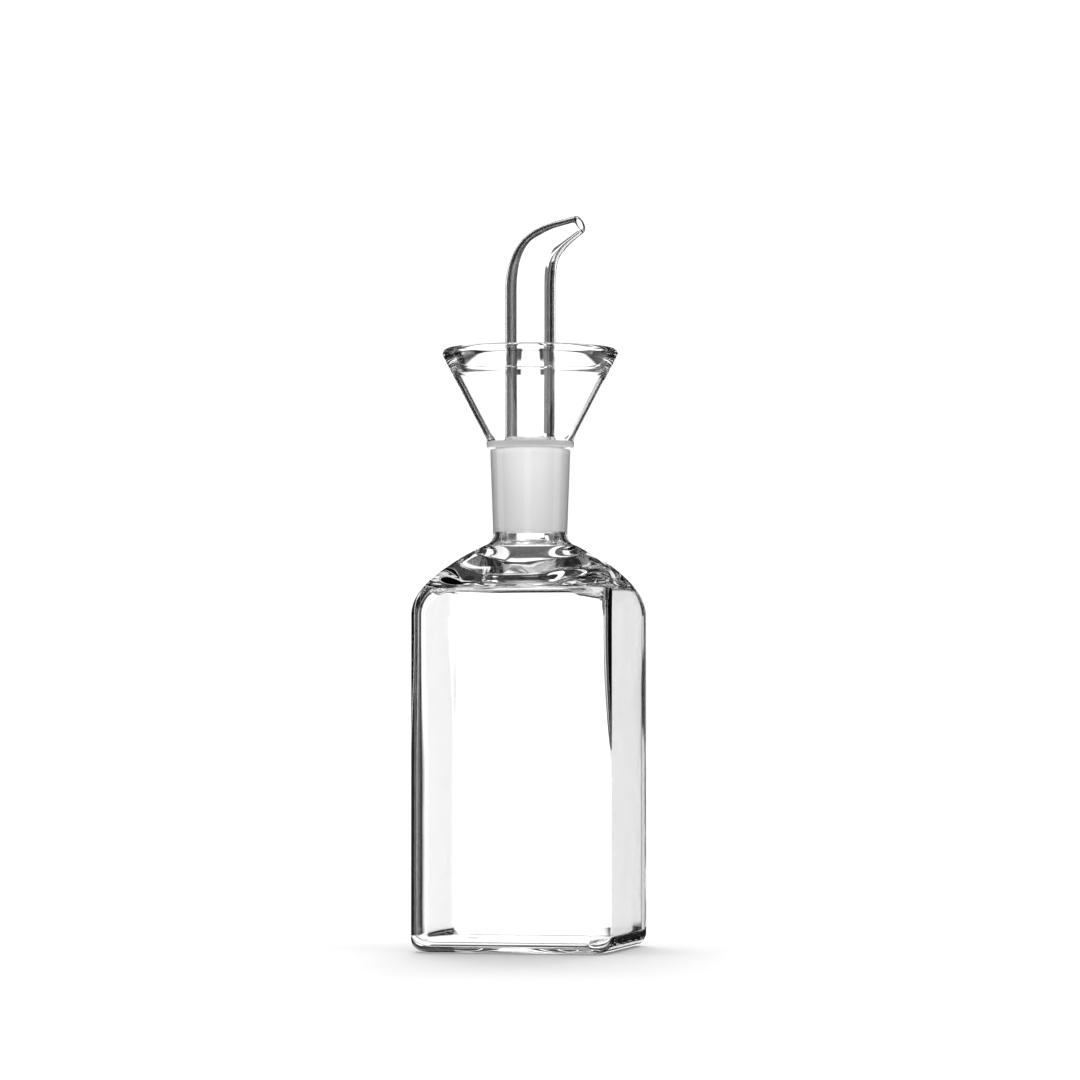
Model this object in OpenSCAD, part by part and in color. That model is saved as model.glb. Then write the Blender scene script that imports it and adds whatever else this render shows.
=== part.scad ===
// Square kitchen oil bottle in clear borosilicate glass, with a ground-in
// pourer that catches its own drips. Millimetres, +Z up. The origin is the
// centre of the base, on the surface that the bottle stands on, and the
// four flat faces look along +X, -X, +Y and -Y.

/* [Bottle body] */
// Width of the square body, flat face to flat face
body_w = 70.6; // [69:0.1:84]
// Radius of the upright edges
edge_r = 6.5; // [5:0.5:8]
// Radius of the edge round the base
base_edge_r = 5; // [4:0.5:6]
// Height of the straight sides, where the shoulder begins
side_h = 116; // [90:1:160]
// Thickness of the blown wall in the shoulder and the root of the neck
wall = 2.3; // [1.6:0.1:2.4]
// Thickness of the wall low down the sides, where it was blown thinnest
low_wall = 1.2; // [1:0.1:2]
// Inner radius of the upright edges low down, where they keep more glass
low_corner_r = 6.5; // [4:0.5:8]
// Height up to which the sides have their thinnest wall
thin_h = 60; // [20:1:80]
// Thickness of the floor
floor_t = 2.6; // [2:0.1:4]
// Height of the push-up in the middle of the base
push_up = 1.4; // [0.6:0.1:2.4]
// Radius of the push-up, inside the flat ring that the bottle rests on
push_up_r = 25; // [18:0.5:25]

/* [Shoulder] */
// Rise of the domed shoulder, from the straight sides to the neck's fillet
shoulder_rise = 25.2; // [22:0.1:34]
// Slope of the shoulder where it meets the neck's fillet, in degrees
shoulder_slope = 24; // [18:1:32]
// Radius of the hollow fillet between the shoulder and the neck
fillet_r = 4; // [3:0.1:6]
// Extra glass that is gathered inside the shoulder, just below the neck
gather = 7; // [0:0.5:8]

/* [Ground joint] */
// Diameter of the ground bore at the rim of the neck
joint_d = 24; // [23:0.1:24.4]
// Length of the ground surfaces
joint_len = 29; // [22:1:34]
// Diameter that the joint loses over each millimetre of its length
joint_taper = 0.1; // [0.06:0.01:0.1]
// Radial gap between the two ground surfaces when the pourer is seated
joint_gap = 0.05; // [0.03:0.01:0.1]
// Outer diameter of the neck at its rim
neck_rim_d = 28.1; // [27.6:0.1:32]
// Outer diameter of the neck at its foot
neck_foot_d = 26; // [25.8:0.1:27.5]
// Length of the clear tail that seals the socket to the bottle
seal_len = 0.6; // [0.4:0.1:2]
// Wall of the hollow ground cone at its top
cone_wall = 2.2; // [1.6:0.1:2.6]
// Length of the clear tail below the cone's ground surface
cone_tail_len = 8; // [3:0.5:12]

/* [Drip funnel] */
// Gap between the rim of the neck and the funnel's collar
collar_gap = 0.4; // [0.3:0.1:1.5]
// Outer diameter of the collar under the funnel
collar_d = 30.6; // [29.6:0.1:33]
// Height of the collar
collar_h = 2.8; // [2.4:0.1:5]
// Slope of the funnel's side from the upright, in degrees
funnel_slope = 27.5; // [20:0.5:36]
// Height of the funnel, from the top of its collar to its rim
funnel_h = 32.1; // [20:0.1:40]
// Thickness of the funnel's side
funnel_wall = 1.2; // [1:0.1:2.4]
// Radius of the melted bead round the rim
bead_r = 1.9; // [1.6:0.1:2.6]
// Depth over which the rim thins from its bead into the funnel's side
rim_depth = 9; // [4:0.5:12]

/* [Pour spout] */
// Outer diameter of the pour tube where it stands upright
tube_d = 17.6; // [15:0.1:18]
// Wall of the pour tube where it stands upright
tube_wall = 1.9; // [1.4:0.1:2.6]
// Height of the upright tube above the underside of its foot
tube_h = 55; // [45:1:70]
// Rise of the bend, from the upright tube to the tip
bend_rise = 22.8; // [20:0.1:28]
// Reach of the tip, sideways from the axis of the neck
bend_reach = 20.1; // [18:0.1:24]
// Slope of the tip above the level, in degrees
tip_slope = 21; // [16:1:32]
// Outer diameter of the tip
tip_d = 6.4; // [5.4:0.1:8]
// Bore of the tip
tip_bore_d = 4.2; // [3:0.1:4.4]
// Shift of the bore in the bend, as the glass gathers on the bend's inside
bore_shift = 0.3; // [0:0.1:0.5]
// Thickness of the flared foot that closes the bottom of the funnel
foot_t = 1.8; // [1.4:0.1:2.4]
// Diameter of the hole that lets the caught drips back into the tube
drain_d = 2.8; // [2:0.1:3.4]
// Turn of the pourer in the neck, from +X, in degrees
pourer_turn = -16; // [-180:0.5:180]

/* [Hidden] */

clear_glass = [0.86, 0.93, 0.93, 0.35];
ground_glass = [0.84, 0.87, 0.88, 0.85];

// Facets: round solids, corners and stretches of the body, and the spout.
$fn = 96;
corner_steps = 8;
base_rings = 5;
shoulder_rings = 25;
root_rings = 5;
tube_sides = 32;
flare_rings = 4;
bend_rings = 22;
rim_steps = 6;
// Length by which a cutting solid runs past the face that it cuts through.
past = 1;

body_half = body_w / 2;
neck_foot_r = neck_foot_d / 2;
neck_rim_r = neck_rim_d / 2;
joint_r = joint_d / 2;
collar_r = collar_d / 2;
tube_r = tube_d / 2;
tube_bore_r = tube_r - tube_wall;

// Heights, from the base up.
shoulder_top = side_h + shoulder_rise;
neck_base = shoulder_top + fillet_r * cos(shoulder_slope);
ground_base = neck_base + seal_len;
neck_rim = ground_base + joint_len;
pourer_base = neck_rim + collar_gap;
collar_top = pourer_base + collar_h;
bead_z = collar_top + funnel_h - bead_r;
bend_base = pourer_base + tube_h;

// Radius of the ground bore at height z.
function bore_r(z) = joint_r - (neck_rim - z) * joint_taper / 2;

function bezier(p, t) =
    pow(1 - t, 3) * p[0] + 3 * t * pow(1 - t, 2) * p[1]
    + 3 * t * t * (1 - t) * p[2] + pow(t, 3) * p[3];

// Direction of the same curve, as a unit vector.
function bezier_heading(p, t) =
    let (d = pow(1 - t, 2) * (p[1] - p[0])
             + 2 * t * (1 - t) * (p[2] - p[1]) + t * t * (p[3] - p[2]))
    d / norm(d);

// Eases from 0 to 1, starting and ending level.
function ease(t) = let (u = min(max(t, 0), 1)) u * u * (3 - 2 * u);

// Closed solid whose skin runs from ring to ring, upwards. All rings have the
// same number of points and turn counterclockwise as seen from above.
module skin(rings) {
    n = len(rings[0]);
    top = (len(rings) - 1) * n;
    polyhedron(
        points = [for (ring = rings) for (p = ring) p],
        faces = concat(
            [[for (j = [0:n - 1]) j]],
            [for (i = [0:len(rings) - 2]) for (j = [0:n - 1])
                let (low = i * n, k = (j + 1) % n)
                [low + n + j, low + n + k, low + k, low + j]],
            [[for (j = [n - 1:-1:0]) top + j]]));
}

// ---- Bottle body -------------------------------------------------------
// The outside and the inside are skins of the same kind: inset is 0 outside,
// and the thickness of the wall inside.

// Radius of the shoulder where the round root of the neck takes over.
shoulder_top_r = neck_foot_r + fillet_r * (1 - sin(shoulder_slope));
// Share of the base's rounding by which its corners tighten on the way down.
base_tighten = 0.8;
// Half length of the flats that the round rings keep between their corners.
least_flat = 0.03;

// The shoulder's line up the middle of a flat face, as [half width, height].
// It leaves the side upright, and meets the fillet at the shoulder's slope.
shoulder_pull = 0.83 * (body_half - shoulder_top_r);
upright_pull = 0.4 * shoulder_rise;
shoulder_line = [
    [body_half, side_h],
    [body_half, side_h + upright_pull],
    [shoulder_top_r + shoulder_pull * cos(shoulder_slope),
     shoulder_top - shoulder_pull * sin(shoulder_slope)],
    [shoulder_top_r, shoulder_top]];

// Level outline: a square of the given half width with round corners.
function body_ring(half, corner_r, z) =
    let (c = half - corner_r)
    [for (q = [0:3]) for (i = [0:corner_steps])
        let (a = 90 * (q + i / corner_steps),
             side = [[1, 1], [-1, 1], [-1, -1], [1, -1]][q])
        [side[0] * c + corner_r * cos(a), side[1] * c + corner_r * sin(a), z]];

// The round edge between the base, at height z, and the straight sides.
function base_part(inset, corner_r, z) =
    [for (i = [0:base_rings])
        let (a = 90 * i / base_rings,
             r = base_edge_r - inset,
             in = r * (1 - sin(a)))
        body_ring(body_half - inset - in, corner_r - base_tighten * in,
                  z + r * (1 - cos(a)))];

// Shares of the shoulder's line: where the gather starts, over how much of
// the line it thickens, and over how much it thins again into the neck.
gather_from = 0.32;
gather_in = 0.4;
gather_out = 0.12;

// The shoulder: its corners grow until the square has become a circle. The
// gather, on the inside, comes on top of inset.
function shoulder_part(inset, extra) =
    [for (i = [0:shoulder_rings])
        let (t = i / shoulder_rings,
             p = bezier(shoulder_line, t),
             d = bezier_heading(shoulder_line, t),
             c = max((p[0] - edge_r) * (1 - ease(t)), least_flat),
             in = inset + extra * ease((t - gather_from) / gather_in)
                  * ease((1 - t) / gather_out),
             half = p[0] - in * d[1])
        body_ring(half, half - c, p[1] + in * d[0])];

// The round root of the neck, a hollow fillet.
function root_part(inset) =
    [for (i = [1:root_rings])
        let (a = (90 - shoulder_slope) * (1 - i / root_rings),
             r = fillet_r + inset,
             half = neck_foot_r + fillet_r - r * cos(a))
        body_ring(half, half - least_flat, neck_base - r * sin(a))];

// Ball whose cap stands push_up above a disc of push_up_r at height z.
module push_up_cap(z) {
    ball_r = (push_up_r * push_up_r + push_up * push_up) / (2 * push_up);
    translate([0, 0, z + push_up - ball_r]) sphere(ball_r);
}

module bottle_body() {
    mouth_r = neck_foot_r - wall;
    mouth = body_ring(mouth_r, mouth_r - least_flat, neck_base + past);
    thinnest = body_ring(body_half - low_wall, low_corner_r, thin_h);
    color(clear_glass) difference() {
        skin(concat(base_part(0, edge_r, 0), shoulder_part(0, 0), root_part(0)));
        difference() {
            skin(concat(base_part(low_wall, low_corner_r, floor_t), [thinnest],
                        shoulder_part(wall, gather), root_part(wall), [mouth]));
            push_up_cap(floor_t);
        }
        push_up_cap(0);
    }
}

// ---- Ground joint ------------------------------------------------------

module neck_socket() {
    lip = 0.7;
    tail_r = neck_foot_r - wall;
    color(ground_glass) rotate_extrude() {
        polygon([[tail_r, neck_base], [neck_foot_r, neck_base],
                 [neck_rim_r, neck_rim - lip], [neck_rim_r - lip, neck_rim],
                 [joint_r + lip / 2, neck_rim],
                 [bore_r(neck_rim - lip / 2), neck_rim - lip / 2],
                 [bore_r(ground_base), ground_base]]);
        translate([neck_rim_r - lip, neck_rim - lip]) circle(lip);
    }
}

// Hollow male cone: ground where it seats, with a clear tail below, whose end
// is melted round.
module stopper_cone() {
    tail_relief = 0.2;
    // Wall of the tail at its melted end.
    end_wall = cone_wall - 0.4;
    end_r = end_wall / 2;
    end_steps = 10;
    tail_z = ground_base - cone_tail_len;
    top_r = bore_r(pourer_base) - joint_gap;
    seat_r = bore_r(ground_base) - joint_gap;
    tail_r = bore_r(tail_z) - joint_gap - tail_relief;
    color(ground_glass) rotate_extrude() polygon(concat(
        [[top_r - cone_wall, pourer_base], [top_r, pourer_base],
         [seat_r, ground_base]],
        [for (i = [0:end_steps])
            let (a = -180 * i / end_steps)
            [tail_r - end_r + end_r * cos(a),
             tail_z + end_r + end_r * sin(a)]]));
}

// ---- Pourer ------------------------------------------------------------

// Thickness of the funnel's sloping side, measured level.
funnel_wall_level = funnel_wall / cos(funnel_slope);
// Radius of the funnel's inside where it meets the spout's foot.
well_r = collar_r - funnel_wall_level;

module drip_funnel() {
    collar_round = funnel_wall_level / 2;
    // Angle on the bead, from the outward level, where the inside leaves it.
    leave = 165;
    // The bead is placed so that the outer side runs into it smoothly.
    spread = (bead_z - collar_top) * tan(funnel_slope);
    bead_centre_r = collar_r + spread - bead_r / cos(funnel_slope);
    outer_touch = [bead_centre_r + bead_r * cos(funnel_slope),
                   bead_z - bead_r * sin(funnel_slope)];
    // The inside of the rim, from the bead down to the funnel's even side.
    rim_top = [bead_centre_r + bead_r * cos(leave),
               bead_z + bead_r * sin(leave)];
    rim_fairing = [for (i = [0:rim_steps])
        let (t = i / rim_steps,
             z = rim_top[1] + (bead_z - rim_depth - rim_top[1]) * t,
             side = well_r + (z - collar_top) * tan(funnel_slope))
        [side + (rim_top[0] - well_r - spread) * pow(1 - t, 2), z]];
    color(clear_glass) rotate([0, 0, pourer_turn]) rotate_extrude() {
        polygon(concat([[well_r, pourer_base],
                        [collar_r - collar_round, pourer_base],
                        [collar_r, pourer_base + collar_round],
                        [collar_r, collar_top], outer_touch,
                        [bead_centre_r, bead_z]],
                       rim_fairing, [[well_r, collar_top]]));
        translate([collar_r - collar_round, pourer_base + collar_round])
            circle(collar_round);
        translate([bead_centre_r, bead_z]) circle(bead_r);
    }
}

// Height of the foot's top side, the floor of the funnel.
well_floor = pourer_base + foot_t;

// The bend's centre line, as [reach, height]. It rises straight at first, and
// runs level with the tip's slope at last.
bend_rise_run = 0.64 * bend_rise;
tip_run = 0.7 * bend_reach;
bend_line = [
    [0, bend_base],
    [0, bend_base + bend_rise_run],
    [bend_reach - tip_run, bend_base + bend_rise - tip_run * tan(tip_slope)],
    [bend_reach, bend_base + bend_rise]];

// Ring of radius r round the spout's line at point p with heading d.
function tube_ring(p, d, r) =
    [for (j = [0:tube_sides - 1])
        let (a = 360 * j / tube_sides)
        [p[0] + r * cos(a) * d[1], r * sin(a), p[1] - r * cos(a) * d[0]]];

function level_ring(r, z) = tube_ring([0, z], [0, 1], r);

// Power that sets how the tube is drawn down: slowly at first, and then faster.
draw_power = 1.2;

// The bend, drawn down from radius from_r to to_r. In its middle it can be
// shifted to the outside of the bend.
function bend_part(from_r, to_r, shift) =
    [for (i = [0:bend_rings])
        let (t = i / bend_rings,
             d = bezier_heading(bend_line, t),
             aside = shift * pow(sin(180 * t), 2) * [-d[1], d[0]])
        tube_ring(bezier(bend_line, t) + aside, d,
                  to_r + (from_r - to_r) * pow(1 - t * t, draw_power))];

// Outside of the spout: the foot, its flare into the upright tube, the bend.
module spout_outside() {
    flare = 2;
    skin(concat(
        [level_ring(well_r, pourer_base), level_ring(well_r, well_floor)],
        [for (i = [0:flare_rings])
            let (a = 90 * (1 - i / flare_rings))
            level_ring(tube_r + flare * (1 - cos(a)),
                       well_floor + flare * (1 - sin(a)))],
        bend_part(tube_r, tip_d / 2, 0)));
}

// Inside of the spout, which opens out at its foot to the width of the cone.
module spout_inside() {
    mouth_r = bore_r(pourer_base) - joint_gap - cone_wall;
    // Rise of the mouth for each millimetre that it narrows.
    mouth_steepness = 0.6;
    mouth_h = mouth_steepness * (mouth_r - tube_bore_r);
    tip_heading = [cos(tip_slope), sin(tip_slope)];
    skin(concat(
        [level_ring(mouth_r, pourer_base - past),
         level_ring(mouth_r, pourer_base),
         level_ring(tube_bore_r, pourer_base + mouth_h)],
        bend_part(tube_bore_r, tip_bore_d / 2, bore_shift),
        [tube_ring([bend_reach, bend_base + bend_rise] + past * tip_heading,
                   tip_heading, tip_bore_d / 2)]));
}

module spout_tube() {
    // The hole's lower edge stands this share of its diameter above the floor.
    drain_lift = 0.1;
    drain_z = well_floor + (0.5 + drain_lift) * drain_d;
    color(clear_glass) rotate([0, 0, pourer_turn]) difference() {
        spout_outside();
        spout_inside();
        translate([0, 0, drain_z]) rotate([0, 90, 0])
            cylinder(d = drain_d, h = well_r);
    }
}

bottle_body();
neck_socket();
stopper_cone();
drip_funnel();
spout_tube();
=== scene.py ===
"""Square glass oil bottle with a drip-catching pourer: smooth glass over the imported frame.

Two fused pieces of glass are built, the bottle and the pourer, each as one closed skin
with a real wall, and stand for the five CAD nodes. Lengths are in millimetres until a
mesh is made. The outermost ones come from the frame's own boxes, and the rest repeat
the part's sizes.
"""

import math

import bpy
import numpy as np
from mathutils import Matrix, Vector

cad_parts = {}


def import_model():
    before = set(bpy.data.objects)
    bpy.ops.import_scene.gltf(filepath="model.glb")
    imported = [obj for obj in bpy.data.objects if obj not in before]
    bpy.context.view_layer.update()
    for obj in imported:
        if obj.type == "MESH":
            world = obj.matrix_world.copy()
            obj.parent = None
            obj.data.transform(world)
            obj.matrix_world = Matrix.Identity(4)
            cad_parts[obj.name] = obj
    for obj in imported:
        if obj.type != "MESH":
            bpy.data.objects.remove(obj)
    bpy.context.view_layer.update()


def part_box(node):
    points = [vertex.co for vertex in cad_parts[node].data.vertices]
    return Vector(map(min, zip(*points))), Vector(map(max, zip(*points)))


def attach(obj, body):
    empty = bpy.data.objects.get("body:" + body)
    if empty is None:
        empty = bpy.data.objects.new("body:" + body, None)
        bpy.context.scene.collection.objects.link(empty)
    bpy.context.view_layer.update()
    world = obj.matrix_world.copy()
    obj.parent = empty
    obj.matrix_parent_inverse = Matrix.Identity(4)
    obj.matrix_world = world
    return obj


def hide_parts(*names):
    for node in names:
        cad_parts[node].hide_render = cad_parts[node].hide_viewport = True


MM = 0.001

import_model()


# ---- Sizes from the frame ----------------------------------------------------


def box_mm(node):
    """A CAD node's lowest and highest corner, in millimetres."""
    low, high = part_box(node)
    return np.array(low) / MM, np.array(high) / MM


BODY_HIGH = box_mm("bottle_body")[1]
SOCKET_HIGH = box_mm("neck_socket")[1]
CONE_LOW, CONE_HIGH = box_mm("stopper_cone")
FUNNEL_HIGH = box_mm("drip_funnel")[1]

# Bottle
HALF = BODY_HIGH[0]
NECK_BASE = BODY_HIGH[2]
NECK_RIM = SOCKET_HIGH[2]
NECK_RIM_R = SOCKET_HIGH[0]
WALL, LOW_WALL = 2.3, 1.2  # at the shoulder, and low down the sides
FLOOR = 2.6
EDGE_R, BASE_EDGE_R = 6.5, 5.0  # upright edges, and the edge round the base
LOW_CORNER_R = 6.5  # upright edges of the inside, low down
THIN_H = 60.0  # height up to which the sides are thin
FULL_WALL_BELOW = 6.0  # below the shoulder, where the sides reach their full wall
BASE_PULL = 0.8  # how fast the base's corners tighten as its edge turns under
PUSH_UP, PUSH_UP_R = 1.4, 25.0
PUSH_UP_MIDDLE = 0.5  # radius of the innermost ring of the push-up
SHOULDER_RISE = 25.2
SHOULDER_SLOPE = math.radians(24)
SHOULDER_UPRIGHT, SHOULDER_REACH = 0.4, 0.83  # pulls of the shoulder's two ends
GATHER = 7.0  # glass gathered inside the shoulder, over its wall
GATHER_FROM, GATHER_IN, GATHER_OUT = 0.32, 0.4, 0.12  # shares of the shoulder's line
ODD_CORNER_END = 0.8  # share of the line on which the fuller inner corner fades out
FILLET_R = 4.0
NECK_FOOT_R = 13.0
SHOULDER_TOP = NECK_BASE - FILLET_R * math.cos(SHOULDER_SLOPE)
SIDE_TOP = SHOULDER_TOP - SHOULDER_RISE

# Ground joint
JOINT_R = 12.0
JOINT_TAPER = 0.1
JOINT_GAP = 0.05
SEAL = 0.6
GROUND_BASE = NECK_BASE + SEAL
LIP = 0.7

# Pourer
POURER_BASE = CONE_HIGH[2]
CONE_WALL = 2.2
TAIL_END = CONE_LOW[2]
TAIL_RELIEF = 0.2  # how far the clear tail stands back from the taper
TAIL_THINNING = 0.4  # of the cone's wall, at the tail's melted end
COLLAR_R = 15.3
COLLAR_ROUND = 0.68
COLLAR_TOP = POURER_BASE + 2.8
COLLAR_EDGE = 0.6  # below the collar's top, where its frosting ends
CREASE = 0.15  # softens the turn from the collar to the funnel
FUNNEL_SLOPE = math.radians(27.5)
FUNNEL_WALL = 1.2
BEAD_R = 1.9
BEAD_END = 165  # degrees round the bead at which the inside takes over
RIM_FAIRING = 9.0  # height over which the rim thins into the funnel's side
BEAD_Z = FUNNEL_HIGH[2] - BEAD_R
WELL_ROUND = 0.4
TUBE_R = 8.8
TUBE_BORE_R = 6.9
MOUTH_STEEPNESS = 0.6  # rise over run, where the cone's bore narrows to the tube's
BEND_BASE = POURER_BASE + 55
BEND_RISE = 22.8
BEND_REACH = 20.1
BEND_RISE_RUN, TIP_RUN = 0.64, 0.7  # pulls of the bend's two ends
TIP_SLOPE = math.radians(21)
TIP_R, TIP_BORE_R = 3.2, 2.1
DRAW_POWER = 1.2  # how late along the bend the tube is drawn down
BORE_SHIFT = 0.3  # of the bore, outward in the bend
FOOT_T = 1.8
FOOT_FLARE = 2.0
DRAIN_R = 1.4
DRAIN_LIFT = 1.2  # height of the drain hole over the well's floor, in its radii
DRAIN_INSIDE, DRAIN_OUTSIDE = 2.0, 3.5  # how far the cutter passes the tube's wall
POURER_TURN = math.radians(-16)
SHARP_EDGE = math.radians(40)  # edges that turn more than this are shaded sharp


# ---- Rings -------------------------------------------------------------------

QUARTER = 80  # points on a quarter of each of the bottle's rings
AROUND = 128  # points on each of the pourer's rings
AROUND_DRAIN = 32
PUSH_UP_RINGS = 12
SIDE_STEPS, SHOULDER_STEPS, BEND_STEPS = 39, 120, 80
BASE_EDGE_STEPS, FILLET_STEPS, LIP_STEPS, COLLAR_ROUND_STEPS = 12, 16, 6, 6
BEAD_STEPS, FAIRING_STEPS, FLARE_STEPS, END_STEPS = 28, 12, 10, 10

# Longest strips along the outlines
NECK_STEP, CONE_STEP, COLLAR_STEP = 2.0, 1.5, 1.0
FUNNEL_STEP, TUBE_STEP, MOUTH_STEP = 1.5, 2.5, 0.8


def bezier(points, t):
    """Place and unit heading on a cubic curve."""
    p = np.array(points, float)
    s = 1 - t
    place = s**3 * p[0] + 3 * t * s**2 * p[1] + 3 * t**2 * s * p[2] + t**3 * p[3]
    way = s**2 * (p[1] - p[0]) + 2 * t * s * (p[2] - p[1]) + t**2 * (p[3] - p[2])
    return place, way / np.linalg.norm(way)


def ease(t):
    """Smooth step from 0 to 1."""
    t = min(max(t, 0.0), 1.0)
    return t * t * (3 - 2 * t)


def mix(a, b, t):
    return a + (b - a) * t


def quarter_ring(half, corner_r):
    """A quarter of a level square with round corners.

    At least half of its points lie on the corner.
    """
    flat, arc = half - corner_r, corner_r * math.pi / 2
    on_arc = 0.5 + 0.5 * arc / (2 * flat + arc)
    on_flat = (1 - on_arc) / 2
    ring = []
    for i in range(QUARTER):
        u = i / QUARTER
        if u < on_flat:
            ring.append((half, flat * u / on_flat))
        elif u > 1 - on_flat:
            ring.append((flat * (1 - u) / on_flat, half))
        else:
            a = (u - on_flat) / on_arc * math.pi / 2
            ring.append((flat + corner_r * math.cos(a), flat + corner_r * math.sin(a)))
    return np.array(ring)


def square_ring(half, corner_r, z, odd_corner_r=None):
    """Level square with round corners, turning counterclockwise.

    The corner at -X, +Y can have a radius of its own.
    """
    quarters = []
    for turn in range(4):
        is_odd = turn == 1 and odd_corner_r is not None
        x, y = quarter_ring(half, odd_corner_r if is_odd else corner_r).T
        for _ in range(turn):
            x, y = -y, x
        quarters.append(np.column_stack([x, y]))
    xy = np.concatenate(quarters)
    return np.column_stack([xy, np.full(len(xy), z)])


def round_ring(r, z):
    return square_ring(r, r, z)


def arc_points(centre, r, start, end, steps):
    """Points (radius, height) on an arc, from one angle to another in degrees."""
    return [
        (centre[0] + r * math.cos(a), centre[1] + r * math.sin(a))
        for a in np.radians(np.linspace(start, end, steps + 1))
    ]


def even(points, step):
    """A chain of (radius, height) points with more put in, so that none are over step apart."""
    out = [points[0]]
    for a, b in zip(points, points[1:]):
        n = max(1, math.ceil(math.dist(a, b) / step))
        out += [(mix(a[0], b[0], i / n), mix(a[1], b[1], i / n)) for i in range(1, n + 1)]
    return out


def mesh_piece(name, rings, is_loop, materials, slot_of):
    """One closed smooth skin through the rings, with slot_of giving each strip's material.

    A loop joins its last ring to its first. Otherwise both ends close at their middles.
    """
    n, count = len(rings[0]), len(rings)
    points = np.concatenate(rings)
    faces, slots = [], []
    for i in range(count if is_loop else count - 1):
        low, high = i * n, (i + 1) % count * n
        for j in range(n):
            k = (j + 1) % n
            faces.append((low + j, low + k, high + k, high + j))
            slots.append(slot_of(i))
    if not is_loop:
        first, last = len(points), len(points) + 1
        points = np.concatenate([points, [rings[0].mean(0)], [rings[-1].mean(0)]])
        top = (count - 1) * n
        for j in range(n):
            k = (j + 1) % n
            faces += [(first, k, j), (last, top + j, top + k)]
            slots += [slot_of(0), slot_of(count - 2)]
    mesh = bpy.data.meshes.new(name)
    mesh.from_pydata((points * MM).tolist(), [], faces)
    for material in materials:
        mesh.materials.append(material)
    mesh.polygons.foreach_set("material_index", slots)
    mesh.polygons.foreach_set("use_smooth", [True] * len(faces))
    mesh.update()
    piece = bpy.data.objects.new(name, mesh)
    bpy.context.scene.collection.objects.link(piece)
    return piece


# ---- Materials ---------------------------------------------------------------


class Nodes:
    """Short calls for building a node tree."""

    def __init__(self, tree):
        self.tree = tree
        tree.nodes.clear()

    def new(self, kind, inputs=None, **settings):
        node = self.tree.nodes.new(kind)
        for key, value in settings.items():
            setattr(node, key, value)
        for key, value in (inputs or {}).items():
            if isinstance(value, bpy.types.NodeSocket):
                self.tree.links.new(value, node.inputs[key])
            else:
                node.inputs[key].default_value = value
        return node

    def math(self, operation, a, b=0.0):
        return self.new("ShaderNodeMath", {0: a, 1: b}, operation=operation).outputs[0]

    def ramp(self, value, low, high, to_low, to_high):
        """Smooth step of value from low to high."""
        return self.new(
            "ShaderNodeMapRange",
            {
                "Value": value, "From Min": low, "From Max": high,
                "To Min": to_low, "To Max": to_high,
            },
            interpolation_type="SMOOTHSTEP",
        ).outputs["Result"]

    def noise(self, where, scale, detail=2.0):
        return self.new(
            "ShaderNodeTexNoise", {"Vector": where, "Scale": scale, "Detail": detail}
        ).outputs["Fac"]

    def bump(self, height, strength, distance):
        return self.new(
            "ShaderNodeBump", {"Strength": strength, "Distance": distance, "Height": height}
        ).outputs["Normal"]

    def glass(self, roughness, normal):
        """Colourless borosilicate."""
        return self.new(
            "ShaderNodeBsdfPrincipled",
            {
                "Base Color": (0.99, 0.99, 0.99, 1.0),
                "Roughness": roughness,
                "IOR": 1.47,
                "Transmission Weight": 1.0,
                "Normal": normal,
            },
        ).outputs[0]


def glass_material(name, shadow_tint, build):
    """A glass with the shader of build(nodes, place), which lets the lamps through with a tint."""
    material = bpy.data.materials.new(name)
    material.use_nodes = True
    nodes = Nodes(material.node_tree)
    place = nodes.new("ShaderNodeTexCoord").outputs["Object"]
    shader = build(nodes, place)
    is_shadow = nodes.new("ShaderNodeLightPath").outputs["Is Shadow Ray"]
    through = nodes.new("ShaderNodeBsdfTransparent", {"Color": (*[shadow_tint] * 3, 1.0)})
    mixed = nodes.new("ShaderNodeMixShader", {0: is_shadow, 1: shader, 2: through.outputs[0]})
    nodes.new("ShaderNodeOutputMaterial", {"Surface": mixed.outputs[0]})
    return material


def clear_shader(nodes, place):
    """Fire-polished glass: broad faint waves from the blowing, and a trace of haze."""
    normal = nodes.bump(nodes.noise(place, 55.0, 1.0), 0.02, 0.002)
    haze = nodes.ramp(nodes.noise(place, 160.0), 0.45, 0.8, 0.0, 0.012)
    return nodes.glass(haze, normal)


def ground_shader(nodes, place):
    """Ground glass: fine grain, faint streaks down the cone, light scattered both ways."""
    stretched = nodes.new(
        "ShaderNodeMapping", {"Vector": place, "Scale": (1.0, 1.0, 0.12)}
    ).outputs[0]
    streaks = nodes.noise(stretched, 420.0, 3.0)
    grain = nodes.noise(place, 2600.0, 2.0)
    height = nodes.math("ADD", nodes.math("MULTIPLY", streaks, 0.6), grain)
    normal = nodes.bump(height, 0.25, 0.0003)
    glass = nodes.glass(nodes.ramp(streaks, 0.3, 0.7, 0.5, 0.68), normal)
    scatter = nodes.new(
        "ShaderNodeBsdfTranslucent", {"Color": (0.96, 0.96, 0.96, 1.0), "Normal": normal}
    ).outputs[0]
    return nodes.new("ShaderNodeMixShader", {0: 0.8, 1: glass, 2: scatter}).outputs[0]


# The tints set how much of the lamps' light reaches the frosted glass and the floor.
CLEAR = glass_material("clear_glass_polished", 0.62, clear_shader)
CLEAR_POURER = glass_material("clear_glass_thin", 0.9, clear_shader)
GROUND = glass_material("ground_glass_frosted", 0.96, ground_shader)


# ---- Bottle ------------------------------------------------------------------

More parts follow.
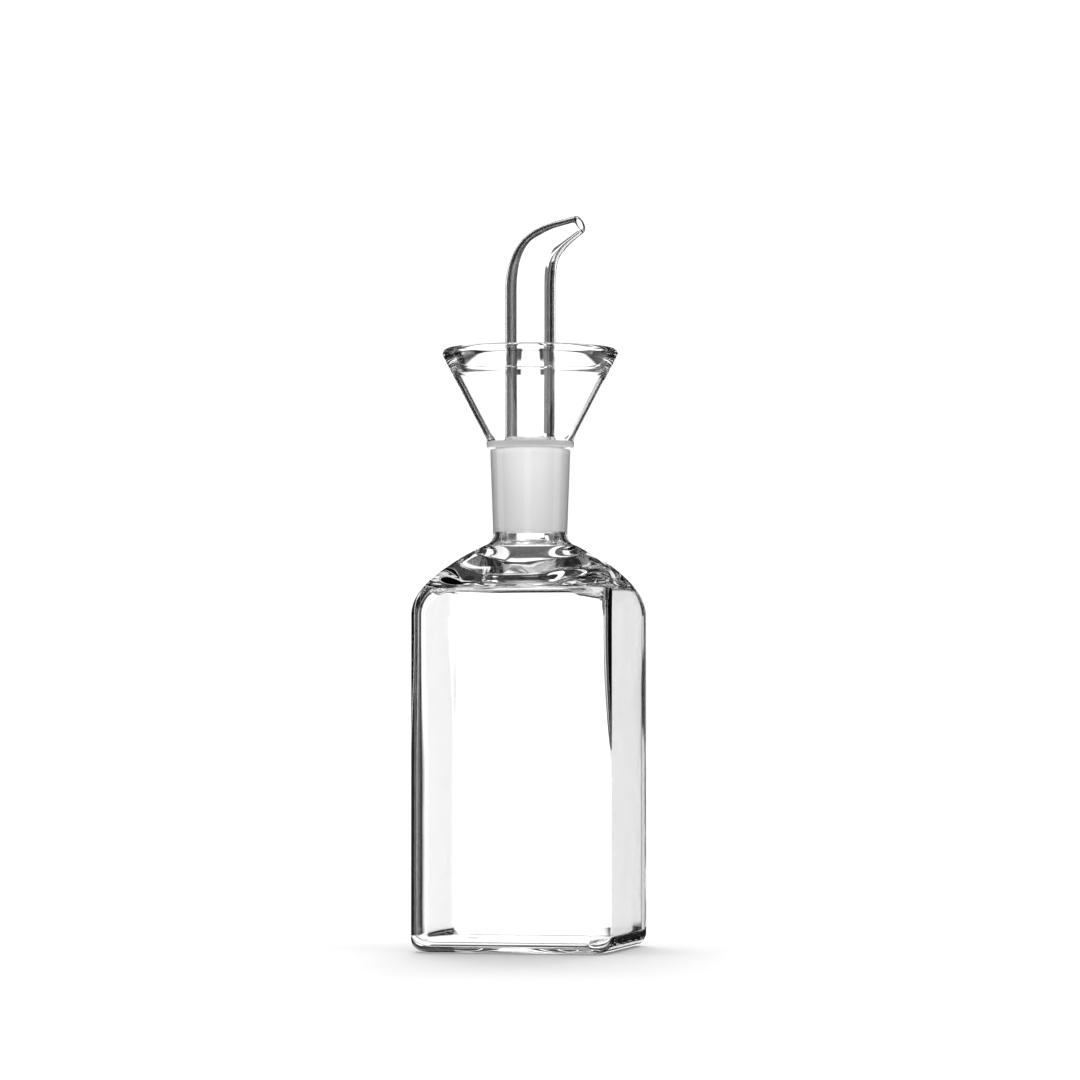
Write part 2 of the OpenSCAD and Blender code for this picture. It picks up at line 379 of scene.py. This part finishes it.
SHOULDER_TOP_R = NECK_FOOT_R + FILLET_R * (1 - math.sin(SHOULDER_SLOPE))
SHOULDER_PULL = SHOULDER_REACH * (HALF - SHOULDER_TOP_R)
SHOULDER_LINE = (
    (HALF, SIDE_TOP),
    (HALF, SIDE_TOP + SHOULDER_UPRIGHT * SHOULDER_RISE),
    (
        SHOULDER_TOP_R + SHOULDER_PULL * math.cos(SHOULDER_SLOPE),
        SHOULDER_TOP - SHOULDER_PULL * math.sin(SHOULDER_SLOPE),
    ),
    (SHOULDER_TOP_R, SHOULDER_TOP),
)


def bore_r(z):
    """Radius of the ground socket at a height."""
    return JOINT_R - (NECK_RIM - z) * JOINT_TAPER / 2


def base_rings(inset, floor_z, edge, corner_r):
    """The push-up or floor, the resting ring, and the round edge up to the sides."""
    rings = []
    ball_r = (PUSH_UP_R**2 + PUSH_UP**2) / (2 * PUSH_UP)
    for r in np.linspace(PUSH_UP_MIDDLE, PUSH_UP_R, PUSH_UP_RINGS):
        z = floor_z + PUSH_UP - (ball_r - math.sqrt(ball_r**2 - r**2))
        rings.append(round_ring(r, z))
    foot = HALF - inset - edge
    for t in (0.25, 0.5, 0.75):
        half = mix(PUSH_UP_R, foot, t)
        rings.append(square_ring(half, mix(half, corner_r - BASE_PULL * edge, t), floor_z))
    for a in np.radians(np.linspace(0, 90, BASE_EDGE_STEPS + 1)):
        back = edge * (1 - math.sin(a))
        z = floor_z + edge * (1 - math.cos(a))
        rings.append(square_ring(HALF - inset - back, corner_r - BASE_PULL * back, z))
    return rings


def side_rings(low_z, wall_at, corner_at, odd_corner_r):
    """Upright sides, outside or inside, with wall and corner as functions of the height."""
    heights = np.linspace(low_z, SIDE_TOP, SIDE_STEPS + 1)[1:-1]
    return [square_ring(HALF - wall_at(z), corner_at(z), z, odd_corner_r) for z in heights]


def shoulder_rings(inset_at, odd_extra):
    """The shoulder, going from square to round, set in by inset_at(share of its line)."""
    rings = []
    for t in np.linspace(0, 1, SHOULDER_STEPS + 1):
        (half, z), (out, up) = bezier(SHOULDER_LINE, t)
        flat = (half - EDGE_R) * (1 - ease(t))
        inset = inset_at(t)
        half, z = half - inset * up, z + inset * out
        odd = half - flat + odd_extra * (1 - ease(t / ODD_CORNER_END))
        rings.append(square_ring(half, half - flat, z, odd))
    return rings


def thick_root(t):
    """Wall of the shoulder: it gathers below the neck and thins again into it."""
    gathered = ease((t - GATHER_FROM) / GATHER_IN) * ease((1 - t) / GATHER_OUT)
    return WALL + GATHER * gathered


def low_to_high(low, high):
    """Measure of the inside that goes from low to high up the sides."""
    run = SIDE_TOP - FULL_WALL_BELOW - THIN_H
    return lambda z: mix(low, high, ease((z - THIN_H) / run))


def root_points(inset):
    """Outline of the fillet from the shoulder into the neck."""
    start = 180 + 90 - math.degrees(SHOULDER_SLOPE)
    centre = (NECK_FOOT_R + FILLET_R, NECK_BASE)
    return arc_points(centre, FILLET_R + inset, start, 180, FILLET_STEPS)[1:]


def neck_outside():
    """Outline up the neck from the shoulder, and over its lip."""
    points = root_points(0)
    points += even([points[-1], (NECK_RIM_R, NECK_RIM - LIP)], NECK_STEP)[1:]
    points += arc_points((NECK_RIM_R - LIP, NECK_RIM - LIP), LIP, 0, 90, LIP_STEPS)[1:]
    return points + [(JOINT_R + LIP / 2, NECK_RIM)]


def bottle():
    outside = base_rings(0, 0, BASE_EDGE_R, EDGE_R)
    outside += side_rings(BASE_EDGE_R, lambda z: 0, lambda z: EDGE_R, EDGE_R)
    outside += shoulder_rings(lambda t: 0, 0)

    neck = neck_outside()
    bore_start = NECK_RIM - LIP / 2
    bore = even([(bore_r(bore_start), bore_start), (bore_r(GROUND_BASE), GROUND_BASE)], NECK_STEP)
    inner_neck = [(NECK_FOOT_R - WALL, NECK_BASE)] + root_points(WALL)[-2::-1]

    high_corner_r = EDGE_R - WALL
    inner_edge = BASE_EDGE_R - LOW_WALL
    inside = base_rings(LOW_WALL, FLOOR, inner_edge, LOW_CORNER_R)
    inside += side_rings(
        FLOOR + inner_edge,
        low_to_high(LOW_WALL, WALL),
        low_to_high(LOW_CORNER_R, high_corner_r),
        LOW_CORNER_R,
    )
    inside += shoulder_rings(thick_root, LOW_CORNER_R - high_corner_r)
    inside.reverse()

    rings = outside + [round_ring(r, z) for r, z in neck + bore + inner_neck] + inside
    ground_from = len(outside) + len(neck) - 1
    ground_strips = range(ground_from, ground_from + len(bore))
    return mesh_piece(
        "bottle_glass", rings, False, (CLEAR, GROUND), lambda i: int(i in ground_strips)
    )


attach(bottle(), "bottle")
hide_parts("bottle_body", "neck_socket")


# ---- Pourer ------------------------------------------------------------------

WELL_R = COLLAR_R - FUNNEL_WALL / math.cos(FUNNEL_SLOPE)
WELL_FLOOR = POURER_BASE + FOOT_T
CONE_TOP_R = bore_r(POURER_BASE) - JOINT_GAP
TAIL_R = bore_r(TAIL_END) - JOINT_GAP - TAIL_RELIEF
TAIL_ROUND = (CONE_WALL - TAIL_THINNING) / 2
BEND_LINE = (
    (0, BEND_BASE),
    (0, BEND_BASE + BEND_RISE_RUN * BEND_RISE),
    (
        (1 - TIP_RUN) * BEND_REACH,
        BEND_BASE + BEND_RISE - TIP_RUN * BEND_REACH * math.tan(TIP_SLOPE),
    ),
    (BEND_REACH, BEND_BASE + BEND_RISE),
)


def tube_ring(place, heading, r):
    """Circle round the spout's line, in the plane of the bend."""
    a = np.linspace(0, 2 * math.pi, AROUND, endpoint=False)
    across = r * np.cos(a)
    return np.column_stack(
        [place[0] + across * heading[1], r * np.sin(a), place[1] - across * heading[0]]
    )


def level_rings(points):
    return [tube_ring((0, z), (0, 1), r) for r, z in points]


def bend_rings(from_r, to_r, shift):
    """The bend's outside or bore.

    The bore is shifted outward there, as the glass gathers on the inside of a bend.
    """
    rings = []
    for t in np.linspace(0, 1, BEND_STEPS + 1)[1:]:
        place, heading = bezier(BEND_LINE, t)
        share = (1 - t * t) ** DRAW_POWER
        outward = np.array([-heading[1], heading[0]])
        place = place + shift * math.sin(math.pi * t) ** 2 * outward
        rings.append(tube_ring(place, heading, mix(to_r, from_r, share)))
    return rings


def tip_rings():
    """The melted end of the tip, from its outside round to its bore."""
    place, heading = bezier(BEND_LINE, 1)
    half_wall = (TIP_R - TIP_BORE_R) / 2
    middle = (TIP_R - half_wall, 0)
    return [
        tube_ring(place + (along - half_wall) * heading, heading, r)
        for r, along in arc_points(middle, half_wall, 0, 180, END_STEPS)[1:-1]
    ]


def cone_and_collar():
    """Outline from the tail's end up to the collar's top, with a 1 where a ground strip ends."""
    seat = bore_r(GROUND_BASE) - JOINT_GAP
    tail = even([(TAIL_R, TAIL_END + TAIL_ROUND), (seat, GROUND_BASE)], CONE_STEP)
    cone = even([tail[-1], (CONE_TOP_R, POURER_BASE)], CONE_STEP)[1:]
    inner_r = COLLAR_R - COLLAR_ROUND
    under = even([cone[-1], (inner_r, POURER_BASE)], COLLAR_STEP)[1:]
    centre = (inner_r, POURER_BASE + COLLAR_ROUND)
    side = arc_points(centre, COLLAR_ROUND, -90, 0, COLLAR_ROUND_STEPS)[1:]
    side += even([side[-1], (COLLAR_R, COLLAR_TOP - COLLAR_EDGE)], COLLAR_STEP)[1:]
    is_ground = [0] * len(tail) + [1] * len(cone) + [0] * len(under) + [1] * len(side)
    return tail + cone + under + side, is_ground


def rim_fairing(start, wall_r):
    """Inside of the rim: it thins smoothly from the bead into the funnel's side."""
    points = []
    for t in np.linspace(0, 1, FAIRING_STEPS + 1)[1:]:
        z = mix(start[1], BEAD_Z - RIM_FAIRING, t)
        side = wall_r - (BEAD_Z - z) * math.tan(FUNNEL_SLOPE)
        points.append((side + (start[0] - wall_r) * (1 - t) ** 2, z))
    return points


def funnel():
    """Outline up the funnel from its collar, round the bead, and down into the well."""
    spread = (BEAD_Z - COLLAR_TOP) * math.tan(FUNNEL_SLOPE)
    bead = (COLLAR_R + spread - BEAD_R / math.cos(FUNNEL_SLOPE), BEAD_Z)
    rim = arc_points(bead, BEAD_R, -math.degrees(FUNNEL_SLOPE), BEAD_END, BEAD_STEPS)
    high, low = COLLAR_TOP + 2 * CREASE, COLLAR_TOP - 2 * CREASE
    points = even([(COLLAR_R + CREASE, high), rim[0]], FUNNEL_STEP)
    points += rim[1:]
    points += rim_fairing(rim[-1], WELL_R + spread)
    points += even([points[-1], (WELL_R + CREASE, high), (WELL_R, low)], FUNNEL_STEP)[1:]
    return points + [
        (WELL_R, WELL_FLOOR + WELL_ROUND),
        (WELL_R - WELL_ROUND / 4, WELL_FLOOR + WELL_ROUND / 4),
        (WELL_R - WELL_ROUND, WELL_FLOOR),
    ]


def tube_outside():
    """Outline of the tube's flared foot and its straight part."""
    centre = (TUBE_R + FOOT_FLARE, WELL_FLOOR + FOOT_FLARE)
    points = arc_points(centre, FOOT_FLARE, 270, 180, FLARE_STEPS)
    return points + even([points[-1], (TUBE_R, BEND_BASE)], TUBE_STEP)[1:]


def tube_and_cone_bore():
    """Outline down the straight bore, through the cone and round the tail's end."""
    mouth_r = CONE_TOP_R - CONE_WALL
    mouth_z = POURER_BASE + MOUTH_STEEPNESS * (mouth_r - TUBE_BORE_R)
    end_z = TAIL_END + TAIL_ROUND
    points = even([(TUBE_BORE_R, BEND_BASE), (TUBE_BORE_R, mouth_z)], TUBE_STEP)
    points += even([points[-1], (mouth_r, POURER_BASE)], MOUTH_STEP)[1:]
    points += even([points[-1], (TAIL_R - 2 * TAIL_ROUND, end_z)], CONE_STEP)[1:]
    centre = (TAIL_R - TAIL_ROUND, end_z)
    return points + arc_points(centre, TAIL_ROUND, 180, 360, END_STEPS)[1:-1]


def pourer():
    base, is_ground = cone_and_collar()
    outer_bend = bend_rings(TUBE_R, TIP_R, 0)[:-1] + tip_rings()
    inner_bend = bend_rings(TUBE_BORE_R, TIP_BORE_R, BORE_SHIFT)[::-1]
    rings = level_rings(base + funnel() + tube_outside()) + outer_bend
    rings += inner_bend[1:] + level_rings(tube_and_cone_bore())
    is_ground += [0] * (len(rings) + 1 - len(is_ground))
    return mesh_piece(
        "pourer_glass", rings, True, (CLEAR_POURER, GROUND), lambda i: is_ground[i + 1]
    )


def drilled(piece, cutter):
    """Cuts cutter's shape out of piece for good, and removes cutter."""
    cut = piece.modifiers.new("cut", "BOOLEAN")
    cut.operation, cut.object, cut.solver = "DIFFERENCE", cutter, "EXACT"
    view = bpy.context.evaluated_depsgraph_get()
    done = bpy.data.meshes.new_from_object(piece.evaluated_get(view))
    piece.modifiers.clear()
    piece.data = done
    bpy.data.objects.remove(cutter)
    return piece


def drain_cutter():
    """Short rod lying along +X through the foot of the tube's wall."""
    z = WELL_FLOOR + DRAIN_LIFT * DRAIN_R
    a = np.linspace(0, 2 * math.pi, AROUND_DRAIN, endpoint=False)
    y, z = DRAIN_R * np.cos(a), z + DRAIN_R * np.sin(a)
    ends = [
        np.column_stack([np.full(AROUND_DRAIN, x), y, z])
        for x in (TUBE_BORE_R - DRAIN_INSIDE, TUBE_R + DRAIN_OUTSIDE)
    ]
    return mesh_piece("drain", ends, False, (CLEAR,), lambda i: 0)


pourer_glass = drilled(pourer(), drain_cutter())
pourer_glass.data.transform(Matrix.Rotation(POURER_TURN, 4, "Z"))
pourer_glass.data.set_sharp_from_angle(angle=SHARP_EDGE)
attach(pourer_glass, "pourer")
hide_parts("stopper_cone", "drip_funnel", "spout_tube")


# ---- Studio ------------------------------------------------------------------

CAMERA_AZIMUTH = math.radians(13)
CAMERA_HEIGHT, CAMERA_DISTANCE = 84.0, 1612.0
AIM_ASIDE, AIM_HEIGHT = 3.4, 142.7
LENS, SENSOR = 153.7, 36
FLOOR_HALF, FLOOR_DROP = 6.0, 0.0001  # metres; the drop keeps it just under the base
WHITE = 1.05  # what the camera sees directly
FAINT = 0.02  # the darkest that the glass shows
BOUNCES = 128  # enough for the light that runs along inside the thick base
MIRROR_BOUNCES = 16  # light that is mirrored more often inside the glass stays dark
CLEAR_LAYERS = 24  # of glass that a lamp's light passes

right = Vector((math.cos(CAMERA_AZIMUTH), math.sin(CAMERA_AZIMUTH), 0))
back = Vector((math.sin(CAMERA_AZIMUTH), -math.cos(CAMERA_AZIMUTH), 0))


def white_floor():
    """Paper under the bottle. The glass doesn't show it: the world stands for it there."""
    mesh = bpy.data.meshes.new("floor")
    corners = [(-1, -1), (1, -1), (1, 1), (-1, 1)]
    mesh.from_pydata([(x * FLOOR_HALF, y * FLOOR_HALF, 0) for x, y in corners], [], [(0, 1, 2, 3)])
    sheet = bpy.data.objects.new("floor", mesh)
    sheet.location.z = -FLOOR_DROP
    sheet.visible_transmission = sheet.visible_glossy = False
    bpy.context.scene.collection.objects.link(sheet)
    paper = bpy.data.materials.new("white_paper")
    paper.use_nodes = True
    nodes = Nodes(paper.node_tree)
    shader = nodes.new("ShaderNodeBsdfDiffuse", {"Color": (0.9, 0.9, 0.9, 1.0)})
    nodes.new("ShaderNodeOutputMaterial", {"Surface": shader.outputs[0]})
    mesh.materials.append(paper)
    return sheet


floor = white_floor()


def soft_light(name, source, spread, strength):
    """A broad distant light from the direction source, not seen in or through the glass."""
    lamp = bpy.data.lights.new(name, "SUN")
    lamp.energy, lamp.angle = strength, math.radians(spread)
    light = bpy.data.objects.new(name, lamp)
    light.rotation_mode = "QUATERNION"
    light.rotation_quaternion = Vector(source).to_track_quat("Z", "Y")
    light.visible_glossy = light.visible_transmission = light.visible_camera = False
    bpy.context.scene.collection.objects.link(light)


soft_light("overhead", (0, 0, 1), 90, 2.4)
soft_light("behind", Vector((0, 0, 0.6)) - back, 50, 2.5)


def world():
    """Soft windows that the glass shows, with dark between them.

    A tall one stands behind the bottle, others at its sides and front, and white lies low
    down in four directions and far below. What the camera sees directly is plain white.
    Azimuths count from -Y towards +X, and all angles are in degrees.
    """
    studio = bpy.data.worlds.new("studio")
    bpy.context.scene.world = studio
    studio.use_nodes = True
    nodes = Nodes(studio.node_tree)
    way = nodes.new("ShaderNodeTexCoord").outputs["Generated"]
    up = nodes.new("ShaderNodeSeparateXYZ", {0: way}).outputs["Z"]
    level_way = nodes.new(
        "ShaderNodeVectorMath", {0: way, 1: (1, 1, 0)}, operation="MULTIPLY"
    ).outputs[0]
    level_way = nodes.new(
        "ShaderNodeVectorMath", {0: level_way}, operation="NORMALIZE"
    ).outputs[0]

    def window(azimuth, edge, core, strength):
        """Upright window centred on an azimuth, fading from core to edge either side."""
        a = math.radians(azimuth)
        toward = nodes.new(
            "ShaderNodeVectorMath",
            {0: level_way, 1: (math.sin(a), -math.cos(a), 0)},
            operation="DOT_PRODUCT",
        ).outputs["Value"]
        edge_cos, core_cos = math.cos(math.radians(edge)), math.cos(math.radians(core))
        return nodes.ramp(toward, edge_cos, core_cos, 0.0, strength)

    def level(low, high, to_low, to_high):
        """Step that follows the height of the direction over the horizon."""
        low_sin, high_sin = math.sin(math.radians(low)), math.sin(math.radians(high))
        return nodes.ramp(up, low_sin, high_sin, to_low, to_high)

    def add(a, b):
        return nodes.math("ADD", a, b)

    def times(a, b):
        return nodes.math("MULTIPLY", a, b)

    # The tall window behind: its middle, its narrow top, and the part below the horizon.
    middle = times(window(192.7, 10.5, 8, 1.65), level(-5, -2.5, 0.0, 1.0))
    middle = times(middle, level(10, 13, 1.0, 0.0))
    top = times(window(192.7, 6, 4, 1.65), level(10, 13, 0.0, 1.0))
    lower = times(window(194.5, 8, 5.5, 1.5), level(-5, -2.5, 1.0, 0.0))
    lower = times(lower, level(-29, -23, 0.0, 1.0))
    upright = add(add(middle, top), lower)

    # One at each side and one at the front, and a slit beside the tall one.
    for azimuth, edge, strength in ((272, 14, 1.5), (100, 16, 1.5), (5, 12, 1.1)):
        upright = add(upright, window(azimuth, edge, edge - 4, strength))
    slit = times(window(180, 3.2, 2.2, 1.5), level(1.3, 2.2, 1.0, 0.0))
    upright = times(add(upright, slit), level(18, 24, 1.0, 0.0))

    # White low down at the four corners, and far below.
    far_low = add(window(225, 22, 18, 1.1), window(135, 22, 18, 1.1))
    far_low = times(far_low, level(-20, -17, 1.0, 0.0))
    near_low = add(window(45, 22, 18, 1.1), window(315, 22, 18, 1.1))
    near_low = times(near_low, level(-11, -8, 1.0, 0.0))
    low = add(add(near_low, far_low), level(-22, -16, 0.06, 0.0))
    deep = level(-80, -62, 1.1, 0.0)

    glow = nodes.math("MAXIMUM", upright, nodes.math("MAXIMUM", low, deep))
    glow = add(glow, FAINT)
    seen = nodes.new("ShaderNodeLightPath").outputs["Is Camera Ray"]
    strength = nodes.new(
        "ShaderNodeMix", {"Factor": seen, "A": glow, "B": WHITE}, data_type="FLOAT"
    ).outputs[0]
    background = nodes.new(
        "ShaderNodeBackground", {"Color": (1.0, 1.0, 1.0, 1.0), "Strength": strength}
    )
    nodes.new("ShaderNodeOutputWorld", {"Surface": background.outputs[0]})


world()

lens = bpy.data.cameras.new("camera")
lens.lens, lens.sensor_width = LENS, SENSOR
camera = bpy.data.objects.new("camera", lens)
camera.location = back * CAMERA_DISTANCE * MM + Vector((0, 0, CAMERA_HEIGHT * MM))
aim = right * AIM_ASIDE * MM + Vector((0, 0, AIM_HEIGHT * MM))
camera.rotation_mode = "QUATERNION"
camera.rotation_quaternion = (aim - camera.location).to_track_quat("-Z", "Y")
bpy.context.scene.collection.objects.link(camera)
bpy.context.scene.camera = camera

scene = bpy.context.scene
scene.view_settings.view_transform = "Standard"
scene.cycles.max_bounces = BOUNCES
scene.cycles.transmission_bounces = BOUNCES
scene.cycles.glossy_bounces = MIRROR_BOUNCES
scene.cycles.transparent_max_bounces = CLEAR_LAYERS
scene.cycles.caustics_refractive = True
scene.cycles.caustics_reflective = False
